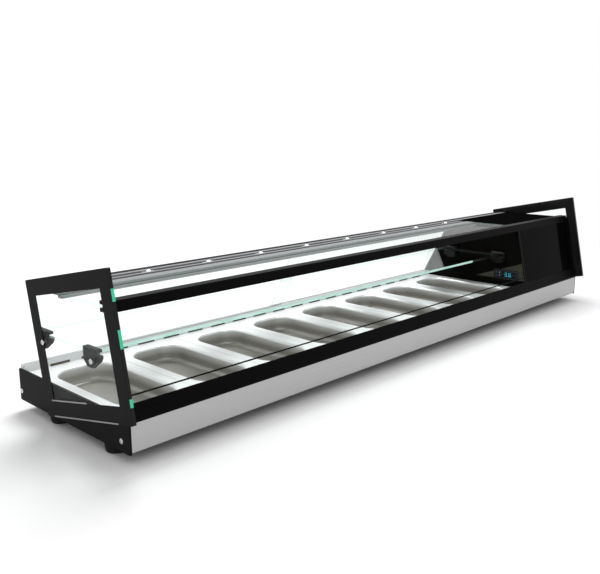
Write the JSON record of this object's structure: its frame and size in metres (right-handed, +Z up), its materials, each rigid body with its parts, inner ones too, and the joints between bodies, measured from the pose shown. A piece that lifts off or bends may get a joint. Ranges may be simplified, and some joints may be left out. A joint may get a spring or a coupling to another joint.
{
  "type": "refrigerated deli case",
  "caption": "Low counter-top refrigerated display case: food pans in a chilled well under slanted glass, a glass shelf, a light rail, sliding rear doors and a machine housing at one end.",
  "frame": {"origin": "on the counter under the middle of the case's bounding box", "axes": "+Z up, +X along the case towards the machine housing, -Y towards the customer's side"},
  "size_m": [1.769, 0.4154, 0.3417],
  "materials": {
    "satin_steel": "satin grey",
    "black_paint": "satin black",
    "black_border": "gloss black enamel",
    "black_anodised": "satin black anodised",
    "natural_aluminium": "satin",
    "polished_steel": "polished",
    "clear_glass": "clear, mint edge",
    "black_plastic": "satin black",
    "gloss_black": "gloss black",
    "grey_plastic": "satin dark grey",
    "clear_plastic": "clear",
    "display": "dark with cyan digits",
    "light": "frosted white",
    "foam": "closed-cell foam",
    "copper": "drawn copper tube",
    "machine_black": "satin black",
    "fin_aluminium": "bare fins",
    "rubber": "matt",
    "green_switch": "translucent green"
  },
  "bodies": {
    "case": {"base_tray": "satin_steel", "compressor": "machine_black", "condenser": "fin_aluminium", "control_panel_plate": "grey_plastic", "drain_spigot": "black_plastic", "end_trim_strips": "natural_aluminium", "evaporator_coil": "copper", "fan_frame": "black_plastic", "fan_motor": "machine_black", "foam_insulation": "foam", "front_fascia": "satin_steel", "front_glass": "clear_glass", "front_glass_seal": "black_plastic", "front_sill": "black_anodised", "housing_front_panel": "gloss_black", "housing_lid": "black_paint", "housing_right_panel": "black_paint", "housing_wall": "black_paint", "left_base_plate": "black_paint", "left_end_glass": "clear_glass", "left_glass_border": "black_border", "light_modules": "light", "light_rail": "natural_aluminium", "light_switch_frame": "black_plastic", "power_inlet": "black_plastic", "rear_bottom_track": "natural_aluminium", "rear_grille": "black_paint", "rear_top_track": "black_anodised", "refrigerant_pipes": "copper", "right_base_plate": "black_paint", "right_end_glass": "clear_glass", "right_glass_border": "black_border", "rubber_feet": "rubber", "shelf_clamps": "black_plastic", "shelf_glass": "clear_glass", "steel_screws": "polished_steel", "thermostat_case": "gloss_black", "thermostat_display": "display", "top_front_bar": "black_anodised", "top_glass": "clear_glass", "well_liner": "polished_steel"},
    "pan_1": {"pan_1": "polished_steel"},
    "pan_2": {"pan_2": "polished_steel"},
    "pan_3": {"pan_3": "polished_steel"},
    "pan_4": {"pan_4": "polished_steel"},
    "pan_5": {"pan_5": "polished_steel"},
    "pan_6": {"pan_6": "polished_steel"},
    "pan_7": {"pan_7": "polished_steel"},
    "pan_8": {"pan_8": "polished_steel"},
    "left_door": {"left_rear_door": "clear_plastic", "left_door_grip": "clear_plastic"},
    "right_door": {"right_rear_door": "clear_plastic", "right_door_grip": "clear_plastic"},
    "fan_rotor": {"fan_blade": "natural_aluminium"},
    "down_key": {"down_key": "black_plastic"},
    "up_key": {"up_key": "black_plastic"},
    "power_key": {"power_key": "black_plastic"},
    "set_key": {"set_key": "black_plastic"},
    "light_switch": {"light_switch_rocker": "green_switch"}
  },
  "joints": [
    {"name": "pan_1_lift", "type": "slide", "parent": "case", "child": "pan_1", "axis": [0, 0, 1], "range_m": [0, 0.04]},
    {"name": "pan_2_lift", "type": "slide", "parent": "case", "child": "pan_2", "axis": [0, 0, 1], "range_m": [0, 0.04]},
    {"name": "pan_3_lift", "type": "slide", "parent": "case", "child": "pan_3", "axis": [0, 0, 1], "range_m": [0, 0.04]},
    {"name": "pan_4_lift", "type": "slide", "parent": "case", "child": "pan_4", "axis": [0, 0, 1], "range_m": [0, 0.04]},
    {"name": "pan_5_lift", "type": "slide", "parent": "case", "child": "pan_5", "axis": [0, 0, 1], "range_m": [0, 0.04]},
    {"name": "pan_6_lift", "type": "slide", "parent": "case", "child": "pan_6", "axis": [0, 0, 1], "range_m": [0, 0.04]},
    {"name": "pan_7_lift", "type": "slide", "parent": "case", "child": "pan_7", "axis": [0, 0, 1], "range_m": [0, 0.04]},
    {"name": "pan_8_lift", "type": "slide", "parent": "case", "child": "pan_8", "axis": [0, 0, 1], "range_m": [0, 0.04]},
    {"name": "left_door_slide", "type": "slide", "parent": "case", "child": "left_door", "axis": [1, 0, 0], "range_m": [0, 0.696]},
    {"name": "right_door_slide", "type": "slide", "parent": "case", "child": "right_door", "axis": [-1, 0, 0], "range_m": [0, 0.696]},
    {"name": "fan_spin", "type": "hinge", "parent": "case", "child": "fan_rotor", "pos_m": [0.8035, -0.02928, 0.119], "axis": [1, 0, 0], "continuous": true},
    {"name": "down_key_press", "type": "slide", "parent": "case", "child": "down_key", "axis": [1, 0, 0], "range_m": [0, 0.001], "stiffness_N_per_m": 400, "springref_m": -0.0005},
    {"name": "up_key_press", "type": "slide", "parent": "case", "child": "up_key", "axis": [1, 0, 0], "range_m": [0, 0.001], "stiffness_N_per_m": 400, "springref_m": -0.0005},
    {"name": "power_key_press", "type": "slide", "parent": "case", "child": "power_key", "axis": [1, 0, 0], "range_m": [0, 0.001], "stiffness_N_per_m": 400, "springref_m": -0.0005},
    {"name": "set_key_press", "type": "slide", "parent": "case", "child": "set_key", "axis": [1, 0, 0], "range_m": [0, 0.001], "stiffness_N_per_m": 400, "springref_m": -0.0005},
    {"name": "light_switch_rock", "type": "hinge", "parent": "case", "child": "light_switch", "pos_m": [0.7575, 0.20552, 0.053], "axis": [1, 0, 0], "range_deg": [-16, 0]}
  ]
}
